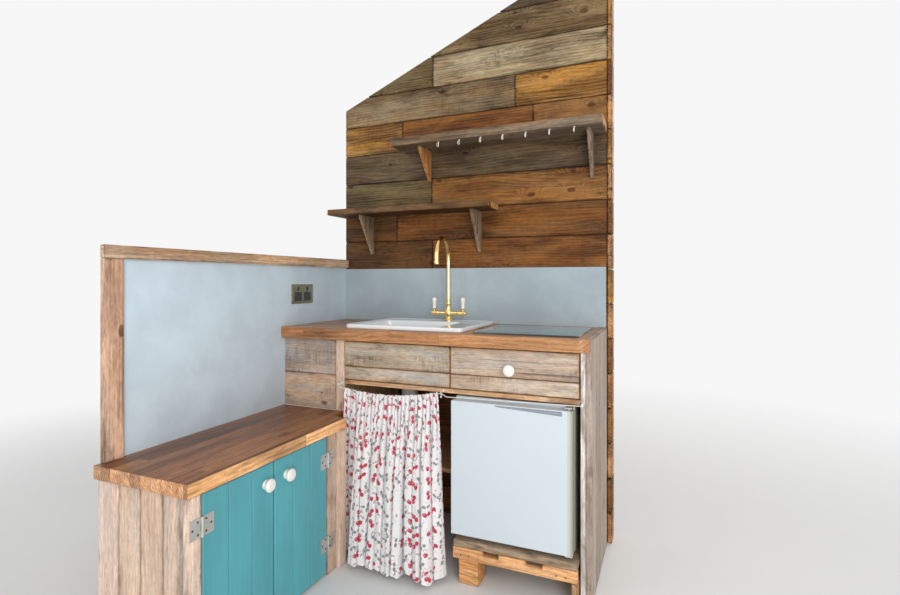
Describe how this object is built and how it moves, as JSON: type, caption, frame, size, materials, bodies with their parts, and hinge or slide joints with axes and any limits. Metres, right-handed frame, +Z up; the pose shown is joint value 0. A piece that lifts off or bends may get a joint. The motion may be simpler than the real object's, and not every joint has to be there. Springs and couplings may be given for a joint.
{
  "type": "fitted kitchenette with plank partition",
  "caption": "Rustic compact kitchenette with ceramic sink, brass tap, hob, drawer, curtained bay, small fridge, low boarded cupboard, shelves and plank partition.",
  "frame": {"origin": "bottom centre of the bounding box, on the floor", "axes": "+Z up, -Y towards the user of the sink, +X along the worktop to the fridge's end"},
  "size_m": [1.315, 1.353, 2.514],
  "materials": {
    "framing_wood": "sawn",
    "weathered_planks": "weathered",
    "front_wood": "weathered",
    "brown_trim": "satin",
    "shelf_wood": "weathered",
    "oiled_worktop": "oiled satin",
    "pine": "satin",
    "pallet_wood": "sawn",
    "teal_boards": "satin paint",
    "splash_panel": "satin",
    "socket_metal": "brushed",
    "hook_metal": "satin",
    "wire_metal": "satin",
    "waste_plastic": "satin",
    "sink_ceramic": "gloss",
    "hob_glass": "gloss",
    "hob_metal": "satin",
    "print_fabric": "matte",
    "fridge_enamel": "gloss",
    "fridge_glass": "gloss",
    "black_rubber": "matte",
    "knob_ceramic": "gloss",
    "tap_brass": "polished"
  },
  "bodies": {
    "kitchenette": {"partition_frame": "framing_wood", "partition_front": "weathered_planks", "partition_back": "weathered_planks", "corner_boards": "weathered_planks", "splash_back": "splash_panel", "splash_side": "splash_panel", "splash_trim": "brown_trim", "socket": "socket_metal", "shelf_upper": "shelf_wood", "brackets_upper": "shelf_wood", "cup_hooks": "hook_metal", "shelf_lower": "shelf_wood", "brackets_lower": "shelf_wood", "worktop": "oiled_worktop", "sink": "sink_ceramic", "bowl_shell": "sink_ceramic", "sink_waste": "hook_metal", "sink_trap": "waste_plastic", "hob_glass": "hob_glass", "hob_tray": "hob_metal", "face_frame": "front_wood", "fixed_front": "front_wood", "end_panel": "front_wood", "run_sides": "framing_wood", "drawer_runners": "framing_wood", "bay_shelf": "pine", "curtain": "print_fabric", "curtain_wire": "wire_metal", "fridge_cabinet": "fridge_enamel", "fridge_shelves": "fridge_glass", "fridge_feet": "black_rubber", "fridge_hinges": "hook_metal", "pallet_deck": "pallet_wood", "pallet_boards": "pallet_wood", "pallet_blocks": "pallet_wood", "low_worktop": "oiled_worktop", "low_end_panel": "front_wood", "low_frame": "front_wood", "low_inside": "framing_wood", "hinges_fixed": "hook_metal", "tap_body": "tap_brass"},
    "drawer": {"drawer_front": "front_wood", "drawer_box": "framing_wood", "drawer_knob": "knob_ceramic"},
    "fridge_door": {"fridge_door": "fridge_enamel"},
    "door_left": {"door_left": "teal_boards", "hinges_left": "hook_metal", "knob_left": "knob_ceramic"},
    "door_right": {"door_right": "teal_boards", "hinges_right": "hook_metal", "knob_right": "knob_ceramic"},
    "tap_spout": {"tap_spout": "tap_brass"},
    "tap_lever_left": {"lever_left": "tap_brass", "porcelain_left": "knob_ceramic"},
    "tap_lever_right": {"lever_right": "tap_brass", "porcelain_right": "knob_ceramic"}
  },
  "joints": [
    {"name": "drawer_slide", "type": "slide", "parent": "kitchenette", "child": "drawer", "axis": [0, -1, 0], "range_m": [0, 0.3]},
    {"name": "fridge_door_hinge", "type": "hinge", "parent": "kitchenette", "child": "fridge_door", "pos_m": [0.5645, 0.1065, 0.4], "axis": [0, 0, 1], "range_deg": [0, 105]},
    {"name": "door_left_hinge", "type": "hinge", "parent": "kitchenette", "child": "door_left", "pos_m": [-0.2935, -0.619, 0.264], "axis": [0, 0, -1], "range_deg": [0, 110]},
    {"name": "door_right_hinge", "type": "hinge", "parent": "kitchenette", "child": "door_right", "pos_m": [-0.2935, -0.056, 0.264], "axis": [0, 0, 1], "range_deg": [0, 88]},
    {"name": "spout_swivel", "type": "hinge", "parent": "kitchenette", "child": "tap_spout", "pos_m": [-0.0455, 0.5055, 1], "axis": [0, 0, 1], "range_deg": [-75, 75]},
    {"name": "lever_left_turn", "type": "hinge", "parent": "kitchenette", "child": "tap_lever_left", "pos_m": [-0.1155, 0.5055, 0.95], "axis": [1, 0, 0], "range_deg": [0, 90]},
    {"name": "lever_right_turn", "type": "hinge", "parent": "kitchenette", "child": "tap_lever_right", "pos_m": [0.0245, 0.5055, 0.95], "axis": [1, 0, 0], "range_deg": [0, 90]}
  ]
}
